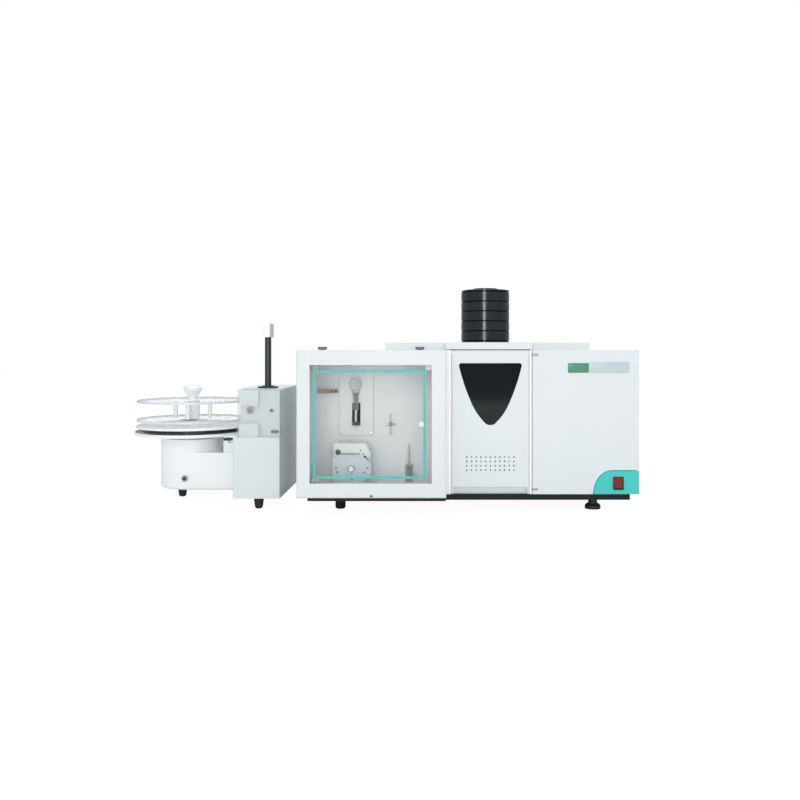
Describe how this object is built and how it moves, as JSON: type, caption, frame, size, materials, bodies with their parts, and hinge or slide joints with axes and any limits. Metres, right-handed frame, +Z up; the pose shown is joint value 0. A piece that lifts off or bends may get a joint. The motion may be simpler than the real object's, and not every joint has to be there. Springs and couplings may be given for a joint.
{
  "type": "atomic fluorescence spectrometer",
  "caption": "Bench spectrometer with a clear chemistry window, a lift-up atomizer door, a lamp door and a ringed chimney, beside an autosampler with a turning tube carousel and a rising arm.",
  "frame": {"origin": "middle of the overall footprint at the bench surface", "axes": "+X to the viewer's right along the front, +Y to the back, +Z up"},
  "size_m": [1.281, 0.48, 0.545],
  "materials": {
    "white_coat": "fine satin powder coat",
    "grey_coat": "fine satin powder coat",
    "dark_coat": "satin black powder coat",
    "teal_coat": "satin paint",
    "blue_silver": "smooth silver-blue paint",
    "clear_acrylic": "polished clear acrylic",
    "smoked_glass": "polished smoked glass",
    "lab_glass": "clear borosilicate glass",
    "black_gloss": "deep polished black",
    "black_plastic": "fine grained black",
    "white_plastic": "smooth white",
    "cream_plastic": "smooth cream",
    "tan_plastic": "machined tan polymer",
    "grey_plastic": "smooth mid grey",
    "red_plastic": "translucent red",
    "black_rubber": "matt black rubber",
    "stainless": "fine brushed",
    "zinc_sheet": "plain zinc coated sheet",
    "cast_alloy": "machined",
    "brass_alloy": "machined"
  },
  "bodies": {
    "case": {"base_plate": "dark_coat", "levelling_feet": "black_plastic", "floor_pan": "zinc_sheet", "top_cover": "white_coat", "side_panels": "white_coat", "bay_partitions": "grey_coat", "rear_panel": "grey_coat", "hump_cover": "white_coat", "chimney": "black_gloss", "hood_shell": "white_coat", "thumb_screws": "black_plastic", "chemistry_panel": "grey_coat", "syringe_plate": "cast_alloy", "syringe_barrel": "lab_glass", "fluid_drives": "dark_coat", "manifold_block": "tan_plastic", "mixing_cross": "white_plastic", "gas_liquid_separator": "lab_glass", "pump_body": "blue_silver", "door_pivot_pins": "stainless", "lamp_door_hinges": "grey_plastic", "switch_panel": "teal_coat", "switch_bezel": "black_plastic", "furnace": "cast_alloy", "optics": "dark_coat", "lamp_bench": "cast_alloy", "hollow_cathode_lamps": "lab_glass", "power_supply": "zinc_sheet", "fan_frame": "black_plastic", "power_inlet": "black_plastic", "gas_inlet": "brass_alloy", "rubber_feet": "black_rubber", "sampler_base": "white_coat", "tray_sensor": "black_plastic", "drip_tray": "white_plastic", "tower_case": "grey_coat", "clear_cover": "clear_acrylic", "column_flange": "cast_alloy", "rinse_pump": "white_plastic"},
    "window_door": {"window_pane": "clear_acrylic", "window_hinge_blocks": "grey_plastic", "window_knob": "white_plastic"},
    "valve": {"valve_rotor": "grey_plastic"},
    "plunger": {"syringe_plunger": "brass_alloy"},
    "pump_roller": {"pump_rotor": "stainless"},
    "clamp": {"pump_clamp": "cream_plastic"},
    "lever": {"clamp_lever": "stainless"},
    "atomizer_flap": {"atomizer_door": "white_coat", "atomizer_glass": "smoked_glass"},
    "lamp_flap": {"lamp_door": "white_coat"},
    "rocker": {"power_rocker": "red_plastic"},
    "fan": {"fan_rotor": "black_plastic"},
    "carousel": {"turntable": "white_plastic", "tube_plates": "clear_acrylic", "carousel_posts": "white_plastic", "carousel_knob": "white_plastic"},
    "lift": {"column": "black_plastic"},
    "head": {"probe_head": "cream_plastic"},
    "rinse_roller": {"rinse_knob": "black_plastic"},
    "button": {"sampler_button": "black_plastic"}
  },
  "joints": [
    {"name": "window_door_hinge", "type": "hinge", "parent": "case", "child": "window_door", "pos_m": [-0.136, -0.226, 0.0785], "axis": [0, 0, -1], "range_deg": [0, 90]},
    {"name": "valve_turn", "type": "hinge", "parent": "case", "child": "valve", "pos_m": [-0.0485, -0.092, 0.303], "axis": [0, 1, 0], "range_deg": [0, 270]},
    {"name": "plunger_stroke", "type": "slide", "parent": "case", "child": "plunger", "axis": [0, 0, 1], "range_m": [0, 0.028]},
    {"name": "pump_turn", "type": "hinge", "parent": "case", "child": "pump_roller", "pos_m": [-0.0535, -0.154, 0.101], "axis": [0, 1, 0], "continuous": true},
    {"name": "clamp_lift", "type": "hinge", "parent": "case", "child": "clamp", "pos_m": [-0.0115, -0.154, 0.133], "axis": [0, 1, 0], "range_deg": [0, 30]},
    {"name": "lever_release", "type": "hinge", "parent": "clamp", "child": "lever", "pos_m": [-0.085, -0.154, 0.1405], "axis": [0, -1, 0], "range_deg": [0, 80]},
    {"name": "atomizer_door_hinge", "type": "hinge", "parent": "case", "child": "atomizer_flap", "pos_m": [0.2835, -0.177, 0.3845], "axis": [-1, 0, 0], "range_deg": [0, 90]},
    {"name": "lamp_door_hinge", "type": "hinge", "parent": "case", "child": "lamp_flap", "pos_m": [0.39, -0.176, 0.216], "axis": [0, 0, -1], "range_deg": [0, 90]},
    {"name": "power_switch", "type": "hinge", "parent": "case", "child": "rocker", "pos_m": [0.5905, -0.179, 0.069], "axis": [1, 0, 0], "range_deg": [0, 16]},
    {"name": "fan_spin", "type": "hinge", "parent": "case", "child": "fan", "pos_m": [0.5505, 0.191, 0.273], "axis": [0, 1, 0], "continuous": true},
    {"name": "carousel_turn", "type": "hinge", "parent": "case", "child": "carousel", "pos_m": [-0.4935, 0.038, 0.186], "axis": [0, 0, 1], "continuous": true},
    {"name": "column_lift", "type": "slide", "parent": "case", "child": "lift", "axis": [0, 0, 1], "range_m": [-0.09, 0]},
    {"name": "head_swivel", "type": "hinge", "parent": "lift", "child": "head", "pos_m": [-0.2695, -0.082, 0.421], "axis": [0, 0, 1], "range_deg": [-90, 90]},
    {"name": "rinse_knob_turn", "type": "hinge", "parent": "case", "child": "rinse_roller", "pos_m": [-0.3015, -0.139, 0.241], "axis": [0, 1, 0], "continuous": true},
    {"name": "start_button", "type": "slide", "parent": "case", "child": "button", "axis": [0, 1, 0], "range_m": [0, 0.002], "stiffness_N_per_m": 500, "springref_m": -0.002}
  ]
}
